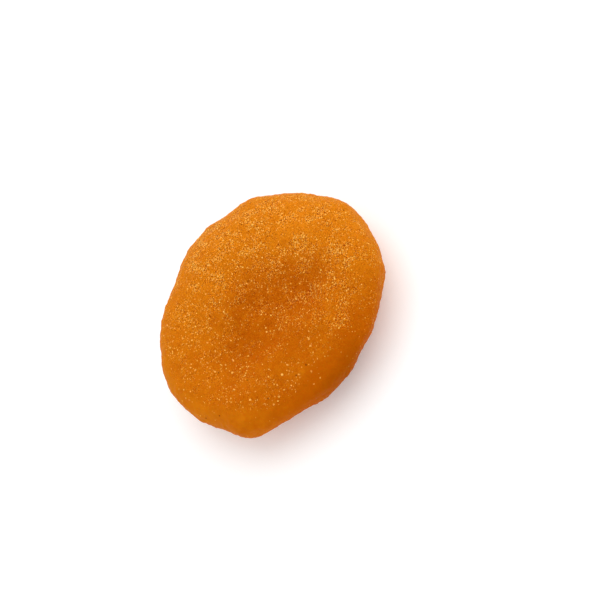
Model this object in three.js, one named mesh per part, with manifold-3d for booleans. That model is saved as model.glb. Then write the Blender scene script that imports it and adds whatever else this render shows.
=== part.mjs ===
// A whole dried apricot with its stone taken out, lying on its back with the dished face up.
// Millimetres, +Z up. +X runs along the long axis to the tip, the stem end is at -X, and the
// slit that the stone came out of is in the rim on the +Y side, the far side here.
// The near side is the one at -Y. The origin is the middle of the footprint.

import * as THREE from "three";
import { mergeVertices } from "three/addons/utils/BufferGeometryUtils.js";
import Module from "manifold-3d";

// Driving dimensions, in millimetres, with angles in degrees round from the tip
const crown = 13.3; // height that the middle of the face would have without the dish
const settle = 0.18; // how far the soft back is pressed flat where it rests
const outline = [
  20.5, 19.8, 19.3, 19.6, 18.7, 18.8, 18.4, 17.6, 17.8, 18.1, 19.1, 19.6,
  19.4, 18.8, 19.1, 17.1, 15.7, 15.7, 16.3, 16.5, 17.5, 18.5, 19.4, 19.8,
]; // plan radius every 15 degrees round from the tip

// Height of the rim's widest line over the surface that the fruit lies on, and how it curls
const waist = { farSide: 5.8, nearSide: 7.6 };
const curl = { height: 0.35, turn: 17 };

// How full the edge is in section: 2 is an ellipse, more is squarer and less is leaner
const faceEdge = { farSide: 2.4, nearSide: 3.4 };
const backEdge = { farSide: 2.1, nearSide: 2.7 };
const nearHeading = -80; // angle of the middle of the near side
const sideFade = 1.5; // more lets a side's own form fade out sooner round the fruit

// The hollow that the missing stone leaves in the face. It deepens towards a swaying spine, and
// past the spine the near side of the face is a shelf that stands lower by the drop and bows down
// with the square of the distance from the spine. It fades out over two distances along X.
const spine = { x: -0.9, y: -3.3, slope: -0.12, halfLength: 6.2 };
const sway = { height: 0.45, wavelength: 8.4, start: 0.4 };
const dish = { depth: 4.2, halfLength: 17.8, farWidth: 16, nearWidth: 6, roundness: 1.6 };
const shelf = { drop: 2.5, bow: 0.017, from: 8, to: 19.5 };

// Creases, drawn towards -X: depth at the middle, and the width of the near and far walls
const valley = {
  path: [[10.8, -5.6], [6.6, -5.1], [3.6, -3.9], [0.6, -3.2], [-2.6, -3.9], [-6.4, -2.8]],
  depth: 0.45,
  nearWall: 1.5,
  farWall: 2.8,
};
const faceFolds = [
  { path: [[1.4, 2.6], [-1.0, 1.4], [-4.4, 0.8], [-8.6, 0.2]], depth: 0.4, nearWall: 4.0, farWall: 1.8 },
  { path: [[8.6, -1.2], [5.4, -1.8], [2.6, -0.6]], depth: 0.35, nearWall: 3.0, farWall: 1.9 },
  { path: [[16.4, 3.0], [14.2, 0.2], [11.0, -1.6]], depth: 0.25, nearWall: 1.8, farWall: 1.3 },
  { path: [[-3.2, -9.8], [-6.6, -9.9], [-11.2, -8.2]], depth: 0.25, nearWall: 1.0, farWall: 1.8 },
  { path: [[-3.0, -12.9], [-3.9, -16.4]], depth: 0.5, nearWall: 1.0, farWall: 1.0 },
];
const backFolds = [
  { path: [[-7.6, 3.0], [-11.0, 1.2], [-16.0, 2.5]], depth: 0.6, nearWall: 2.2, farWall: 1.5 },
  { path: [[-8.8, 7.4], [-12.4, 5.2], [-16.6, 4.4]], depth: 0.45, nearWall: 1.2, farWall: 2.0 },
  { path: [[-9.4, -6.6], [-12.6, -4.4], [-16.8, -2.2]], depth: 0.5, nearWall: 2.0, farWall: 1.2 },
  { path: [[12.0, 0.4], [10.4, 5.0], [6.8, 8.4]], depth: 0.55, nearWall: 1.4, farWall: 2.4 },
  { path: [[16.8, -3.6], [13.4, -5.4], [9.8, -8.4]], depth: 0.4, nearWall: 1.3, farWall: 1.9 },
  { path: [[7.6, -11.4], [0.4, -10.2], [-6.0, -11.6]], depth: 0.45, nearWall: 1.8, farWall: 1.3 },
];
const creaseEnds = 0.35; // share of a crease's depth that is left at its two ends
const pits = [
  { x: -0.3, y: 1.7, radius: 1.2, depth: 0.3 },
  { x: -8.4, y: -1.2, radius: 2.8, depth: 0.35 },
  { x: 5.3, y: 15.9, radius: 0.9, depth: 0.9 },
  { x: 9.4, y: 13.9, radius: 0.8, depth: 0.6 },
];

// The rim is drawn in along the suture, at the slit for the stone and where the stem was.
// Each reach is half the height of the furrow, and each rise is a height over the waist.
const suture = { angle: 90, depth: 0.45, reach: 0.85 };
const slit = { angle: 63, halfLength: 4.6, depth: 1.3, reach: 0.7, lip: 0.3, lipRise: 1.5 };
const stemScar = { angle: 178, halfLength: 1.9, depth: 0.9, reach: 1.7, rise: -2.4 };

// Lumps and wrinkles of the dried skin, each a sum of waves that run every way
const lumps = { seed: 11, waves: 18, shortest: 8, longest: 14, height: 0.42 };
const wrinkles = { seed: 29, waves: 30, shortest: 3.0, longest: 5.6, height: 0.19 };
const calmRim = 0.4; // share of the lumps and wrinkles that shows at the rim's widest line
const calmFace = 0.42; // on the face
const calmBack = 0.35; // and where the back is pressed down

// How high over or under the waist the folds fade in and the back grows calm, as a share
const foldBand = { from: 0.15, to: 0.7 };
const pressBand = { from: 0.7, to: 0.95 };

const meshDetail = 22; // the sphere that the skin is stretched from has 20 (detail + 1)^2 faces
const gather = 0.2; // how much closer to the middle its points lie, which keeps the faces even
const weldGap = 1e-5;
const tableSide = 80;
const flesh = { color: 0xcd7515, roughness: 0.55, metalness: 0 };

const { lerp, smoothstep, clamp, degToRad } = THREE.MathUtils;

// A smooth closed curve through values spaced evenly round the fruit.
function aroundRing(values, angle) {
  const turn = angle / (2 * Math.PI);
  const place = (turn - Math.floor(turn)) * values.length;
  const first = Math.floor(place);
  const t = place - first;
  const [a, b, c, d] = [-1, 0, 1, 2].map(
    (step) => values[(first + step + values.length) % values.length],
  );
  const bend = 2 * a - 5 * b + 4 * c - d + t * (3 * b - a - 3 * c + d);
  return b + 0.5 * t * (c - a + t * bend);
}

// A rounded bump, 1 high in the middle, that has nearly died out two widths away.
function hump(distance, width) {
  return Math.exp(-((distance / width) ** 2));
}

// How strongly an angle lies towards a heading: 1 on it, 0 a quarter turn or more away.
function facing(angle, heading) {
  return Math.max(0, Math.cos(angle - degToRad(heading))) ** sideFade;
}

// A repeatable stream of numbers from 0 to 1.
function seeded(seed) {
  let state = seed;
  return () => {
    state = (state * 16807) % 2147483647;
    return state / 2147483647;
  };
}

// A field of rounded lumps in space, about 1 high, from waves that run in drawn directions.
function waveField({ seed, waves, shortest, longest }) {
  const draw = seeded(seed);
  const set = Array.from({ length: waves }, () => {
    const up = 2 * draw() - 1;
    const turn = 2 * Math.PI * draw();
    const flat = Math.sqrt(1 - up * up);
    const wavelength = lerp(shortest, longest, draw());
    const direction = new THREE.Vector3(flat * Math.cos(turn), flat * Math.sin(turn), up);
    return {
      run: direction.multiplyScalar((2 * Math.PI) / wavelength),
      start: 2 * Math.PI * draw(),
    };
  });
  return (point) =>
    set.reduce((sum, wave) => sum + Math.sin(point.dot(wave.run) + wave.start), 0) /
    Math.sqrt(waves);
}

// Depth of a crease at (x, y), from the nearest place on its path.
function creaseDepth({ path, depth, nearWall, farWall }, x, y) {
  let nearest = Infinity;
  let side = 1;
  let along = 0;
  for (let i = 0; i + 1 < path.length; i++) {
    const [ax, ay] = path[i];
    const [bx, by] = path[i + 1];
    const [ux, uy] = [bx - ax, by - ay];
    const t = clamp(((x - ax) * ux + (y - ay) * uy) / (ux * ux + uy * uy), 0, 1);
    const [gx, gy] = [x - ax - t * ux, y - ay - t * uy];
    const gap = Math.hypot(gx, gy);
    if (gap < nearest) {
      nearest = gap;
      side = ux * gy - uy * gx;
      along = (i + t) / (path.length - 1);
    }
  }
  const taper = lerp(creaseEnds, 1, Math.sin(Math.PI * along));
  return depth * taper * hump(nearest, side > 0 ? nearWall : farWall);
}

// How far (x, y) lies past the spine of the dish, towards +Y.
function pastSpine(x, y) {
  const swing = sway.height * Math.sin((2 * Math.PI * x) / sway.wavelength + sway.start);
  return y - spine.y - spine.slope * (x - spine.x) - swing;
}

// The broad dish, whose walls run out smoothly at its edge.
function dishDepth(x, y) {
  const past = pastSpine(x, y);
  const across = past / (past > 0 ? dish.farWidth : dish.nearWidth);
  const beyond = Math.max(0, Math.abs(x - spine.x) - spine.halfLength);
  const out = Math.hypot(beyond / (dish.halfLength - spine.halfLength), across);
  return out < 1 ? dish.depth * (1 - out ** dish.roundness) ** 2 : 0;
}

// How much lower than the rest of the face the shelf stands at (x, y).
function shelfDrop(x, y) {
  const past = -pastSpine(x, y);
  const across = smoothstep(past, 0, dish.nearWidth);
  const fall = shelf.drop * across + shelf.bow * Math.max(0, past) ** 2;
  return fall * (1 - smoothstep(Math.abs(x), shelf.from, shelf.to));
}

// How far the face or the back is drawn in at (x, y).
function sinkDepth(up, x, y) {
  const folds = up ? [valley, ...faceFolds] : backFolds;
  const creased = folds.reduce((sum, fold) => sum + creaseDepth(fold, x, y), 0);
  if (!up) return creased;
  const pitted = pits.reduce(
    (sum, pit) => sum + pit.depth * hump(Math.hypot(x - pit.x, y - pit.y), pit.radius),
    0,
  );
  return creased + pitted + dishDepth(x, y);
}

// How far the rim is drawn in, at an angle round the fruit and a height over the waist.
function rimFurrow(angle, height) {
  const radius = aroundRing(outline, angle);
  const past = (heading) => {
    const turn = angle - degToRad(heading);
    return radius * Math.atan2(Math.sin(turn), Math.cos(turn));
  };
  const furrow = suture.depth * facing(angle, suture.angle) * hump(height, suture.reach);
  const open = hump((past(slit.angle) / slit.halfLength) ** 2, 1);
  const mouth = slit.depth * hump(height, slit.reach);
  const lips = slit.lip * hump(Math.abs(height) - slit.lipRise, slit.reach);
  const scar =
    stemScar.depth *
    hump(past(stemScar.angle), stemScar.halfLength) *
    hump(height - stemScar.rise, stemScar.reach);
  return furrow + open * (mouth - lips) + scar;
}

const lumpAt = waveField(lumps);
const wrinkleAt = waveField(wrinkles);

// The skin's point for a direction on the unit sphere.
function skin(direction) {
  const angle = Math.atan2(direction.y, direction.x);
  const up = direction.z > 0;
  const near = facing(angle, nearHeading);
  const edge = up ? faceEdge : backEdge;
  const fullness = lerp(edge.farSide, edge.nearSide, near);
  const flat = Math.min(1, Math.hypot(direction.x, direction.y));
  const spread = flat * (1 - gather * (1 - flat * flat));
  const rise = (1 - spread ** fullness) ** (1 / fullness);

  const ring = aroundRing(outline, angle) * spread;
  const curled = curl.height * Math.cos(2 * (angle + degToRad(curl.turn)));
  const rimHeight = lerp(waist.farSide, waist.nearSide, near) + curled;
  const top = crown - shelfDrop(ring * Math.cos(angle), ring * Math.sin(angle));
  const height = rise * (up ? top - rimHeight : -rimHeight - settle);
  const radius = ring - rimFurrow(angle, height) * spread;
  const x = radius * Math.cos(angle);
  const y = radius * Math.sin(angle);
  const point = new THREE.Vector3(x, y, rimHeight + height);

  const inward = up ? -1 : 1;
  const outward = new THREE.Vector3(x / outline[0], y / outline[0], -inward * rise).normalize();
  const folded = smoothstep(rise, foldBand.from, foldBand.to);
  const calm = up
    ? lerp(calmRim, calmFace, folded)
    : lerp(lerp(calmRim, 1, folded), calmBack, smoothstep(rise, pressBand.from, pressBand.to));
  const swell = lumps.height * lumpAt(point) + wrinkles.height * wrinkleAt(point);
  point.addScaledVector(outward, swell * calm);
  point.z += inward * sinkDepth(up, x, y) * folded;
  return point;
}

// The wrinkled skin as one closed surface with evenly spread faces.
function skinGeometry() {
  const sphere = new THREE.IcosahedronGeometry(1, meshDetail);
  sphere.deleteAttribute("normal");
  sphere.deleteAttribute("uv");
  const geometry = mergeVertices(sphere, weldGap);
  const places = geometry.getAttribute("position");
  const direction = new THREE.Vector3();
  for (let i = 0; i < places.count; i++) {
    const point = skin(direction.fromBufferAttribute(places, i).normalize());
    places.setXYZ(i, point.x, point.y, point.z);
  }
  return geometry;
}

const wasm = await Module();
wasm.setup();

function toSolid(geometry) {
  return new wasm.Manifold(
    new wasm.Mesh({
      numProp: 3,
      vertProperties: geometry.getAttribute("position").array,
      triVerts: new Uint32Array(geometry.index.array),
    }),
  );
}

function toGeometry(solid) {
  const mesh = solid.getMesh();
  return new THREE.BufferGeometry()
    .setAttribute("position", new THREE.BufferAttribute(mesh.vertProperties, 3))
    .setIndex(new THREE.BufferAttribute(mesh.triVerts, 1));
}

// Everything under the surface that the fruit lies on, to press its back flat.
function tableGeometry() {
  const table = new THREE.BoxGeometry(tableSide, tableSide, tableSide);
  table.translate(0, 0, -tableSide / 2);
  table.deleteAttribute("normal");
  table.deleteAttribute("uv");
  return mergeVertices(table);
}

// The fruit with its flat spot at z = 0 and the middle of its footprint at the origin.
function apricotGeometry() {
  const pressed = toSolid(skinGeometry()).subtract(toSolid(tableGeometry()));
  const geometry = toGeometry(pressed);
  geometry.computeBoundingBox();
  const middle = geometry.boundingBox.getCenter(new THREE.Vector3());
  geometry.translate(-middle.x, -middle.y, 0);
  geometry.computeVertexNormals();
  return geometry;
}

const apricot = new THREE.Mesh(apricotGeometry(), new THREE.MeshStandardMaterial(flesh));
apricot.name = "apricot";

const group = new THREE.Group();
group.add(apricot);

export default group;
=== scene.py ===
import math

import bmesh
import bpy
import numpy as np
from mathutils import Matrix, Vector, noise


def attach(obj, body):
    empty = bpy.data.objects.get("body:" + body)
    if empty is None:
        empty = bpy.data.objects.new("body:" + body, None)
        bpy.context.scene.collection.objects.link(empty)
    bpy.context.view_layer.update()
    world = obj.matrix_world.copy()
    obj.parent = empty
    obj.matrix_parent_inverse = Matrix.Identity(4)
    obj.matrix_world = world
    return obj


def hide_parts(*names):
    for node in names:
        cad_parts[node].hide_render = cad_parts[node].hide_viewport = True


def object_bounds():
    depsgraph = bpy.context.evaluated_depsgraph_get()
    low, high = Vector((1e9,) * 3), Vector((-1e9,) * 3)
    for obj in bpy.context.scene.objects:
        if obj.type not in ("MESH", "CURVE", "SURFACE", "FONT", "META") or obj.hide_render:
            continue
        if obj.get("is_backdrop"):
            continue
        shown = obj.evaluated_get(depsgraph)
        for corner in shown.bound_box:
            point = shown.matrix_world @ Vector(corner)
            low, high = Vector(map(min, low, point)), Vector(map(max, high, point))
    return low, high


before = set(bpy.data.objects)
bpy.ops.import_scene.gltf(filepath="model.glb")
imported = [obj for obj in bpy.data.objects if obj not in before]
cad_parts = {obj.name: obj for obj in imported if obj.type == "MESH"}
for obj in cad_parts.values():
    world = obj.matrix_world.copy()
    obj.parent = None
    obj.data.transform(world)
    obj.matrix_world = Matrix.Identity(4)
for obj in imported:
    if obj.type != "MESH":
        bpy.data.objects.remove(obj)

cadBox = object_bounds()
fruitMiddle = (cadBox[0] + cadBox[1]) / 2
mm = 0.001
print("frame loaded, box", [round(side / mm, 1) for side in cadBox[1] - cadBox[0]], "mm")


# Small helpers for numbers over a surface

def smoothStep(value, low, high):
    share = np.clip((value - low) / (high - low), 0, 1)
    return share * share * (3 - 2 * share)


def cosine(degrees):
    return np.cos(np.radians(degrees))


fractal = {"seedStep": 17.3, "falloff": 1.0, "lacunarity": 2.0}


# A noise value at every point; each seed takes it from another place in the noise
def noiseField(points, plan):
    scaled = points / plan["size"] + fractal["seedStep"] * plan["seed"]
    settings = fractal["falloff"], fractal["lacunarity"], plan["octaves"]
    return np.array([noise.fractal(Vector(point), *settings) for point in scaled])


# The camera, at the photograph's angle to the face and with the fruit where it stands there

camera = {
    "lens": 85,
    "sensor": 36,
    "imageSize": 600,
    "pixelsPerMm": 6.575,
    "fruitMiddle": (268.5, 308.5),  # in pixels, x to the right and y down
    "tilt": 30,  # between the line of sight and straight down on the face, in degrees
    "longAxisTurn": 55,  # of the long axis in the picture, from level, in degrees
    "clipRange": 100,  # how many times nearer and farther than the fruit the camera still sees
}


def makeCamera(plan):
    tilt, turn = math.radians(plan["tilt"]), math.radians(plan["longAxisTurn"])
    toCamera = Vector((0, -math.sin(tilt), math.cos(tilt)))
    across = Vector((1, 0, 0))
    upward = toCamera.cross(across)
    right = across * math.cos(turn) - upward * math.sin(turn)
    up = across * math.sin(turn) + upward * math.cos(turn)
    pixel = mm / plan["pixelsPerMm"]
    half = plan["imageSize"] / 2
    offX, offY = plan["fruitMiddle"][0] - half, half - plan["fruitMiddle"][1]
    aim = fruitMiddle - (right * offX + up * offY) * pixel
    distance = plan["lens"] / plan["sensor"] * plan["imageSize"] * pixel
    data = bpy.data.cameras.new("camera")
    data.lens = plan["lens"]
    data.sensor_width = plan["sensor"]
    data.clip_start = distance / plan["clipRange"]
    data.clip_end = distance * plan["clipRange"]
    eye = bpy.data.objects.new("camera", data)
    turned = Matrix((right, up, toCamera)).transposed().to_4x4()
    eye.matrix_world = Matrix.Translation(aim + toCamera * distance) @ turned
    bpy.context.scene.collection.objects.link(eye)
    bpy.context.scene.camera = eye


makeCamera(camera)
print("camera placed")


# The skin: the fruit's own shape, made fine and given its small wrinkles

skin = {
    "weld": 0.001 * mm,
    "voxel": 0.21 * mm,
    "smoothPasses": 24,
    "smoothShare": 0.5,
    "cavityPasses": 80,
    "deepestCrease": 0.3,  # below the smoothed skin, in millimetres
    "pressed": 0.25 * mm,  # height over which the wrinkles fade out where the fruit lies
}

# Sizes and heights of the wrinkles, in millimetres. A folded noise has ridges instead of waves,
# and its mean is taken off, so that it adds no thickness.
leather = {"size": 2.4, "height": 0.2, "seed": 1, "octaves": 2}
fineLeather = {"size": 1.05, "height": 0.1, "seed": 2, "octaves": 2}
pebbles = {"size": 0.6, "height": 0.05, "seed": 3, "octaves": 1}
foldedMean = 0.25

# Where the skin is deep, pale, grainy or bare. Lengths are in millimetres, headings in degrees.
# Inner and outer edges are shares of the way out, 0 in the middle and 1 at the edge.
rim = {"halfLength": 19.9, "halfWidth": 17.3}
# Painted shade, a little deeper in colour wherever the face is low
dishPlan = {"bottom": 8.4, "top": 11.2, "inner": 0.45, "outer": 0.85, "weight": 0.2}
# The large oval in the middle, deeper in colour with painted shade, which also has fewer grains
shadedOval = {
    "middle": (1.2, -3.2),
    "halfLength": 12.2,
    "halfWidth": 8.6,
    "turn": -8,
    "inner": 0.5,
    "outer": 1.2,
    "weight": 0.78,
    "fewerGrains": 0.28,
}
# How pale the rest is, paler towards the side the light comes from and in patches with painted
# light, and darker with painted shade on one side of the rim
paleness = {"middle": 0.65, "perMm": (0.012, 0.015), "onBare": 0.28}
# Patches of painted light
paintedLight = (
    {"middle": (11, 0), "radius": 5.5, "more": 0.6},
    {"middle": (-6.3, -0.9), "radius": 3, "more": 0.45},
)
# Painted shade on the side of the rim at this heading, and on the skin under it
shadedRim = {"heading": 267, "inner": 0.74, "outer": 0.98, "power": 4}
# The band along the rim that has hardly any grains
bare = {"heading": 215, "inner": 0.81, "outer": 0.93, "mean": 0.55, "swing": 0.45}
# A place with few grains, its edges in millimetres here, and patches with many
sparse = {"middle": (-3, -17), "inner": 1, "outer": 12, "least": 0.12}
thick = (
    {"middle": (4, 13), "radius": 7, "more": 0.35},
    {"middle": (12, -5), "radius": 6, "more": 0.35},
)
# The side of the face where large beads take the place of fine grains
coarse = {"towards": (-0.95, -0.3), "from": -2, "to": 10, "fewerGrains": 0.5}
# How far up the skin has to face to count as the face, and how grainy the sides are
faceUp = {"from": 0.0, "to": 0.7, "grainsOnSides": 0.65}


def copyOfNode(name):
    mesh = bpy.data.meshes.new(name)
    work = bmesh.new()
    work.from_mesh(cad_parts[name].data)
    bmesh.ops.remove_doubles(work, verts=work.verts, dist=skin["weld"])
    work.to_mesh(mesh)
    work.free()
    piece = bpy.data.objects.new(name + "Skin", mesh)
    bpy.context.scene.collection.objects.link(piece)
    return piece


def remesh(piece, voxel):
    change = piece.modifiers.new("remesh", "REMESH")
    change.mode = "VOXEL"
    change.voxel_size = voxel
    change.use_smooth_shade = True
    view = bpy.context.evaluated_depsgraph_get()
    mesh = bpy.data.meshes.new_from_object(piece.evaluated_get(view))
    piece.modifiers.remove(change)
    piece.data = mesh


def positions(mesh):
    flat = np.empty(len(mesh.vertices) * 3)
    mesh.vertices.foreach_get("co", flat)
    return flat.reshape(-1, 3)


def setPositions(mesh, points):
    mesh.vertices.foreach_set("co", points.ravel())
    mesh.update()


def normals(mesh):
    flat = np.empty(len(mesh.vertices) * 3)
    mesh.vertex_normals.foreach_get("vector", flat)
    return flat.reshape(-1, 3)


# Each point moves a share of the way to the mean of its neighbours, so many times over
def relaxed(mesh, values, passes, share):
    ends = np.empty(len(mesh.edges) * 2, dtype=np.int64)
    mesh.edges.foreach_get("vertices", ends)
    a, b = ends.reshape(-1, 2).T
    count = len(mesh.vertices)
    links = np.bincount(a, minlength=count) + np.bincount(b, minlength=count)
    values = values.copy()
    for _ in range(passes):
        for column in values.T:
            total = np.bincount(a, column[b], count) + np.bincount(b, column[a], count)
            column += share * (total / links - column)
    return values


def keepAttribute(mesh, name, values):
    layer = mesh.attributes.new(name, "FLOAT", "POINT")
    layer.data.foreach_set("value", values.astype(np.float32))


# How much more there is in some round patches, each fading out past its radius
def moreIn(plan, patches):
    total = np.zeros(len(plan))
    for patch in patches:
        far = np.linalg.norm(plan - patch["middle"], axis=1)
        total += patch["more"] * np.exp(-(far / patch["radius"]) ** 2)
    return total


# 1 in the oval of painted shade in the skin's hollow, falling to 0 round it
def shadedOvalAt(plan):
    turn = math.radians(shadedOval["turn"])
    offset = plan - shadedOval["middle"]
    along = offset @ (math.cos(turn), math.sin(turn)) / shadedOval["halfLength"]
    aside = offset @ (-math.sin(turn), math.cos(turn)) / shadedOval["halfWidth"]
    return 1 - smoothStep(np.hypot(along, aside), shadedOval["inner"], shadedOval["outer"])


def paintFields(mesh, points, outward):
    plan, height = points[:, :2], points[:, 2]
    facing = smoothStep(outward[:, 2], faceUp["from"], faceUp["to"])
    out = np.hypot(plan[:, 0] / rim["halfLength"], plan[:, 1] / rim["halfWidth"])
    heading = np.degrees(np.arctan2(plan[:, 1], plan[:, 0]))

    # Painted shade in the hollow: the oval, and wherever the face is low
    inShadedOval = shadedOvalAt(plan)
    low = 1 - smoothStep(height, dishPlan["bottom"], dishPlan["top"])
    low *= 1 - smoothStep(out, dishPlan["inner"], dishPlan["outer"])
    deep = inShadedOval * shadedOval["weight"] + low * dishPlan["weight"]
    keepAttribute(mesh, "dish", deep * facing)

    bareBand = smoothStep(out, bare["inner"], bare["outer"])
    bareBand *= bare["mean"] + bare["swing"] * cosine(heading - bare["heading"])
    # Painted shade on one side of the rim
    shaded = np.clip(cosine(heading - shadedRim["heading"]), 0, 1) ** shadedRim["power"]
    rimward = np.maximum(smoothStep(out, shadedRim["inner"], shadedRim["outer"]), 1 - facing)
    shaded *= rimward
    # Painted light, paler towards the side the light comes from and in patches
    pale = paleness["middle"] + plan @ paleness["perMm"] + moreIn(plan, paintedLight)
    keepAttribute(mesh, "pale", pale + paleness["onBare"] * bareBand - shaded)

    far = np.linalg.norm(plan - sparse["middle"], axis=1)
    grainy = sparse["least"] + smoothStep(far, sparse["inner"], sparse["outer"])
    grainy *= 1 - shadedOval["fewerGrains"] * inShadedOval
    grainy *= 1 + moreIn(plan, thick)
    coarsened = smoothStep(plan @ coarse["towards"], coarse["from"], coarse["to"])
    grainy *= 1 - coarse["fewerGrains"] * coarsened
    grainy *= faceUp["grainsOnSides"] + (1 - faceUp["grainsOnSides"]) * facing
    keepAttribute(mesh, "speckled", grainy * (1 - bareBand))
    keepAttribute(mesh, "coarse", coarsened * (1 - bareBand))


def wrinkles(points):
    lift = pebbles["height"] * noiseField(points, pebbles)
    for plan in (leather, fineLeather):
        lift += plan["height"] * (np.abs(noiseField(points, plan)) - foldedMean)
    return lift


def fineShape(piece):
    mesh = piece.data
    start = relaxed(mesh, positions(mesh), skin["smoothPasses"], skin["smoothShare"])
    start[:, 2] = np.maximum(start[:, 2], 0)
    setPositions(mesh, start)
    outward = normals(mesh)
    points = start / mm

    lift = wrinkles(points) * smoothStep(start[:, 2], 0, skin["pressed"])
    moved = start + outward * (lift * mm)[:, None]
    moved[:, 2] = np.maximum(moved[:, 2], 0)
    setPositions(mesh, moved)

    # Painted shade in the creases, the deeper the skin lies below its smoothed self
    soft = relaxed(mesh, moved, skin["cavityPasses"], skin["smoothShare"])
    hollow = ((soft - moved) * outward).sum(axis=1) / mm
    keepAttribute(mesh, "crease", smoothStep(hollow, 0, skin["deepestCrease"]))
    paintFields(mesh, points, outward)


fruit = copyOfNode("apricot")
remesh(fruit, skin["voxel"])
fineShape(fruit)
print("skin made,", len(fruit.data.polygons), "faces")


# Shader maths: a socket that can be added to, multiplied and compared like a number

class Wire:
    def __init__(self, tree, socket):
        self.tree = tree
        self.socket = socket

    # Any node: its settings first, then the values or links of its sockets
    def node(self, kind, settings=None, sockets=None, out=0):
        made = self.tree.nodes.new(kind)
        for name, value in (settings or {}).items():
            setattr(made, name, value)
        for key, value in (sockets or {}).items():
            if isinstance(value, Wire):
                self.tree.links.new(value.socket, made.inputs[key])
            else:
                made.inputs[key].default_value = value
        return Wire(self.tree, made.outputs[out])

    # Another output of the node that this socket is on
    def other(self, out):
        return Wire(self.tree, self.socket.node.outputs[out])

    def maths(self, operation, *values):
        return self.node("ShaderNodeMath", {"operation": operation}, dict(enumerate(values)))

    def vectorMaths(self, operation, *values):
        settings = {"operation": operation}
        return self.node("ShaderNodeVectorMath", settings, dict(enumerate(values)))

    def __add__(self, other):
        return self.maths("ADD", self, other)

    def __sub__(self, other):
        return self.maths("SUBTRACT", self, other)

    def __rsub__(self, other):
        return self.maths("SUBTRACT", other, self)

    def __mul__(self, other):
        return self.maths("MULTIPLY", self, other)

    __radd__ = __add__
    __rmul__ = __mul__

    # 0 where the value is low or less, 1 where it is high or more, and smooth between
    def step(self, low, high):
        sockets = {"Value": self, "From Min": low, "From Max": high}
        settings = {"interpolation_type": "SMOOTHSTEP"}
        return self.node("ShaderNodeMapRange", settings, sockets)

    # This colour, turned into another as far as a mask says
    def into(self, other, mask):
        return self.node("ShaderNodeMix", {"data_type": "RGBA"}, {0: mask, 6: self, 7: other}, 2)


noiseMiddle = 0.5


# The place on the object, in millimetres
def mapped(tree):
    texture = tree.nodes.new("ShaderNodeTexCoord")
    place = Wire(tree, texture.outputs["Object"])
    return place.vectorMaths("MULTIPLY", place, (1 / mm,) * 3)


def attribute(place, name):
    return place.node("ShaderNodeAttribute", {"attribute_name": name}, out="Fac")


def noiseAt(place, size, detail, roughness=0.5):
    sockets = {"Vector": place, "Scale": 1 / size, "Detail": detail, "Roughness": roughness}
    return place.node("ShaderNodeTexNoise", sockets=sockets)


# The same place, pushed about a little, which makes round grains irregular
def wobbled(place, size, amount):
    push = noiseAt(place, size, detail=1).other("Color")
    push = push.vectorMaths("SUBTRACT", push, (noiseMiddle,) * 3)
    push = push.vectorMaths("MULTIPLY", push, (amount,) * 3)
    return place.vectorMaths("ADD", place, push)


# What a grain draws for itself: whether it is there, how large it is and how strong
grainDraw = {
    "edge": 0.97,
    "leastSize": 0.75,
    "sizeRange": 0.5,
    "leastStrength": 0.4,
    "strengthRange": 0.6,
}


# Grains of a given radius in cells of a given size, of which only a share holds a grain
def grainsAt(place, plan, density=1):
    cell = plan["cell"]
    sockets = {"Vector": place, "Scale": 1 / cell}
    distance = place.node("ShaderNodeTexVoronoi", sockets=sockets)
    draws = distance.node("ShaderNodeSeparateColor", sockets={0: distance.other("Color")})
    present = (draws + density * plan["share"]).step(grainDraw["edge"], 1.0)
    size = draws.other(1) * grainDraw["sizeRange"] + grainDraw["leastSize"]
    ratio = distance.maths("DIVIDE", distance, size * (plan["radius"] / cell))
    strength = draws.other(2) * grainDraw["strengthRange"] + grainDraw["leastStrength"]
    return (1 - ratio.step(plan["core"], 1.0)) * present * strength


lineEdge = {"core": 0.3, "breakFrom": 0.5, "breakTo": 0.6}


# Short curved lines, where a noise crosses its middle, broken up by another noise
def linesAt(place, plan, keep):
    bend = noiseAt(place, plan["size"], detail=0) - noiseMiddle
    core = plan["width"] * lineEdge["core"]
    line = 1 - bend.maths("ABSOLUTE", bend).step(core, plan["width"])
    kept = noiseAt(place, plan["breaks"], detail=0) + keep
    return line * kept.step(lineEdge["breakFrom"], lineEdge["breakTo"])


# Marks crowd together in clusters and thin out between them
def crowded(amount, clusters, plan):
    return amount * (clusters * plan["inClusters"] + plan["between"])


peel = {
    "pale": (0.630, 0.180, 0.003, 1),
    # Painted light
    "paintedLight": (0.760, 0.235, 0.008, 1),
    "deep": (0.474, 0.100, 0.0003, 1),
    # Painted shade in the creases and furrows
    "crease": (0.400, 0.068, 0.0002, 1),
    # Painted shade on one side of the rim
    "rimShade": (0.345, 0.070, 0.0001, 1),
    "gold": (0.95, 0.32, 0.014, 1),
    "grain": (1.00, 0.57, 0.11, 1),
    "bead": (1.00, 0.50, 0.10, 1),
    "speck": (0.22, 0.008, 0.0, 1),
    "pore": (0.10, 0.012, 0.001, 1),
}
shine = {
    "Roughness": 0.6,
    "Specular IOR Level": 0.03,
    "Specular Tint": (1.0, 0.62, 0.2, 1),
    "Subsurface Weight": 0.25,
    "Subsurface Radius": (1.0, 0.32, 0.08),
    "Subsurface Scale": 1.2 * mm,
}

# The marks on the skin. Sizes are in millimetres.
tinyGrains = {"cell": 0.26, "radius": 0.08, "core": 0.6, "share": 0.6}
grains = {"cell": 0.42, "radius": 0.12, "core": 0.65, "share": 0.55}
beads = {"cell": 0.72, "radius": 0.185, "core": 0.5, "share": 0.8}
strokes = {"size": 0.42, "width": 0.055, "breaks": 0.34, "keep": -0.2, "keepInGrains": 0.3}
specks = {"cell": 0.3, "radius": 0.11, "core": 0.5, "share": 0.6}
furrows = {"size": 1.3, "width": 0.07, "breaks": 1.3, "keep": -0.02}
pores = {"cell": 1.7, "radius": 0.15, "core": 0.5, "share": 0.32}

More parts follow.
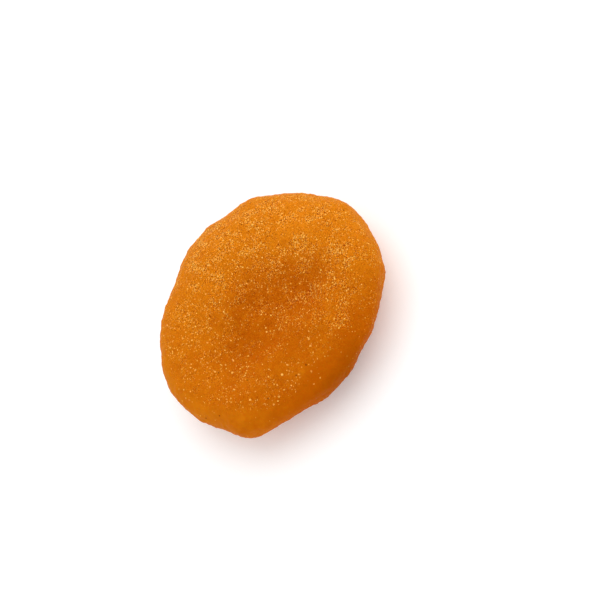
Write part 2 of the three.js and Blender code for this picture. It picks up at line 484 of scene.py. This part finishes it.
# Each noise's size, detail and roughness
noises = {
    "mottle": (4.5, 3, 0.55),
    "patches": (1.1, 3, 0.6),
    "clusters": (2.0, 2, 0.7),
    "grit": (0.15, 1, 0.7),
    "swell": (0.75, 2, 0.5),
}
# The size of the noise that pushes marks about, and how far it pushes them
wobbles = {"grains": (0.25, 0.14), "beads": (0.26, 0.42), "furrows": (0.8, 0.5)}
# The values from which and to which each of these comes in
edges = {
    "pale": (0.0, 1.0),
    # Where painted light comes in
    "paintedLight": (1.0, 1.7),
    # Where painted shade on the rim comes in
    "rimShade": (0.0, 0.6),
    "clusters": (0.4, 0.62),
    "darkGrit": (0.3, 0.5),
    "paleGrit": (0.48, 0.7),
}
# How many marks there are in the clusters, and how many between them
crowding = {
    "grains": {"inClusters": 0.8, "between": 0.25},
    "grit": {"inClusters": 0.65, "between": 0.4},
    "beads": {"inClusters": 0.75, "between": 0.25},
}
# How far each of these changes the tone or the colour
weights = {
    # Painted shade in the hollow
    "dish": 0.85,
    "mottle": 0.55,
    "patches": 0.55,
    # Painted shade, in the creases and in the furrows
    "crease": 0.6,
    "furrow": 0.25,
    "darkGrit": 0.9,
    "paleGrit": 0.75,
    "speck": 0.8,
    "stroke": 0.45,
    "tinyGrain": 0.75,
}
# Heights and depths of the marks, in millimetres
raised = {"grit": 0.04, "swell": 0.12, "grain": 0.035, "stroke": 0.03, "bead": 0.09}
sunken = {"speck": 0.03, "pore": 0.12, "furrow": 0.05}
bumpStrength = 0.9


def peelMaterial():
    material = bpy.data.materials.new("apricotPeel")
    material.use_nodes = True
    tree = material.node_tree
    shader = tree.nodes["Principled BSDF"]
    place = mapped(tree)
    # Painted shade in the hollow and in the creases
    dish, crease = attribute(place, "dish"), attribute(place, "crease")
    pale, speckled = attribute(place, "pale"), attribute(place, "speckled")

    # The skin's own colour, with painted light and painted shade laid over it
    mottle = noiseAt(place, *noises["mottle"]) - noiseMiddle
    patches = noiseAt(place, *noises["patches"]) - noiseMiddle
    # Painted shade in the hollow
    tone = pale * (1 - dish * weights["dish"])
    tone = tone + mottle * weights["mottle"] + patches * weights["patches"]
    colour = place.node("ShaderNodeRGB")
    colour.socket.default_value = peel["deep"]
    colour = colour.into(peel["pale"], tone.step(*edges["pale"]))
    # Painted light where the tone goes past its top
    colour = colour.into(peel["paintedLight"], tone.step(*edges["paintedLight"]))
    # Painted shade on one side of the rim
    colour = colour.into(peel["rimShade"], (0 - pale).step(*edges["rimShade"]))
    # Painted shade in the creases
    colour = colour.into(peel["crease"], crease * weights["crease"])

    # Where the marks are
    clusters = noiseAt(place, *noises["clusters"]).step(*edges["clusters"])
    density = crowded(speckled, clusters, crowding["grains"])
    gritty = crowded(speckled, clusters, crowding["grit"])
    beaded = crowded(attribute(place, "coarse"), clusters, crowding["beads"])
    grit = noiseAt(place, *noises["grit"])
    rough = wobbled(place, *wobbles["grains"])
    large = grainsAt(rough, grains, density)
    small = grainsAt(rough, tinyGrains, density)
    bead = grainsAt(wobbled(place, *wobbles["beads"]), beads, beaded)
    stroke = linesAt(place, strokes, density * strokes["keepInGrains"] + strokes["keep"])
    furrow = linesAt(wobbled(place, *wobbles["furrows"]), furrows, furrows["keep"])
    speck = grainsAt(rough, specks, density)
    pore = grainsAt(place, pores)

    # Their colours, each over the one before
    # Painted shade in the furrows
    colour = colour.into(peel["crease"], furrow * weights["furrow"])
    darkGrit = (1 - grit.step(*edges["darkGrit"])) * gritty
    colour = colour.into(peel["speck"], darkGrit * weights["darkGrit"])
    paleGrit = grit.step(*edges["paleGrit"]) * gritty
    colour = colour.into(peel["gold"], paleGrit * weights["paleGrit"])
    colour = colour.into(peel["speck"], speck * gritty * weights["speck"])
    colour = colour.into(peel["grain"], stroke * gritty * weights["stroke"])
    colour = colour.into(peel["grain"], small * weights["tinyGrain"])
    colour = colour.into(peel["grain"], large)
    colour = colour.into(peel["bead"], bead)
    colour = colour.into(peel["pore"], pore)

    # Their heights
    swell = noiseAt(place, *noises["swell"])
    height = grit * raised["grit"] + swell * raised["swell"] + large * raised["grain"]
    height = height + stroke * raised["stroke"] + bead * raised["bead"]
    height = height - speck * sunken["speck"] - pore * sunken["pore"]
    height = height - furrow * sunken["furrow"]
    bumpSockets = {"Strength": bumpStrength, "Distance": mm, "Height": height}
    bump = place.node("ShaderNodeBump", sockets=bumpSockets)
    tree.links.new(colour.socket, shader.inputs["Base Color"])
    tree.links.new(bump.socket, shader.inputs["Normal"])
    for name, value in shine.items():
        shader.inputs[name].default_value = value
    return material


fruit.data.materials.clear()
fruit.data.materials.append(peelMaterial())
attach(fruit, "root")
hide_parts("apricot")
print("peel painted")


# The pale floor and soft light from the top of the picture

floorPlan = {"side": 1.6, "colour": (0.93, 0.93, 0.93, 1), "roughness": 0.7, "glow": 0.12}
softLight = {"azimuth": 34, "elevation": 58, "distance": 0.6, "size": 0.8, "power": 1.75}
skyPlan = {"colour": (1, 1, 1, 1), "strength": 0.9}


def makeFloor(plan):
    half = plan["side"] / 2
    corners = [(-half, -half, 0), (half, -half, 0), (half, half, 0), (-half, half, 0)]
    mesh = bpy.data.meshes.new("floor")
    mesh.from_pydata(corners, [], [(0, 1, 2, 3)])
    material = bpy.data.materials.new("paleFloor")
    material.use_nodes = True
    shader = material.node_tree.nodes["Principled BSDF"]
    shader.inputs["Base Color"].default_value = plan["colour"]
    shader.inputs["Roughness"].default_value = plan["roughness"]
    shader.inputs["Emission Color"].default_value = plan["colour"]
    shader.inputs["Emission Strength"].default_value = plan["glow"]
    mesh.materials.append(material)
    piece = bpy.data.objects.new("floor", mesh)
    bpy.context.scene.collection.objects.link(piece)
    piece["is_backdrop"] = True


def makeLight(name, plan):
    turn, rise = math.radians(plan["azimuth"]), math.radians(plan["elevation"])
    flat = math.cos(rise)
    towards = Vector((flat * math.cos(turn), flat * math.sin(turn), math.sin(rise)))
    data = bpy.data.lights.new(name, "AREA")
    data.shape = "DISK"
    data.size = plan["size"]
    data.energy = plan["power"]
    lamp = bpy.data.objects.new(name, data)
    lamp.location = fruitMiddle + towards * plan["distance"]
    lamp.rotation_euler = towards.to_track_quat("Z", "Y").to_euler()
    bpy.context.scene.collection.objects.link(lamp)


def makeSky(plan):
    world = bpy.data.worlds.new("sky")
    world.use_nodes = True
    background = world.node_tree.nodes["Background"]
    background.inputs["Color"].default_value = plan["colour"]
    background.inputs["Strength"].default_value = plan["strength"]
    bpy.context.scene.world = world


makeFloor(floorPlan)
makeLight("softLight", softLight)
makeSky(skyPlan)
bpy.context.scene.view_settings.view_transform = "Standard"
print("floor and lights placed")

sizes = {"cad": [list(corner) for corner in cadBox]}
sizes["visual"] = [list(corner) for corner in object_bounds()]
print("box now", [round((high - low) / mm, 2) for low, high in zip(*sizes["visual"])], "mm")
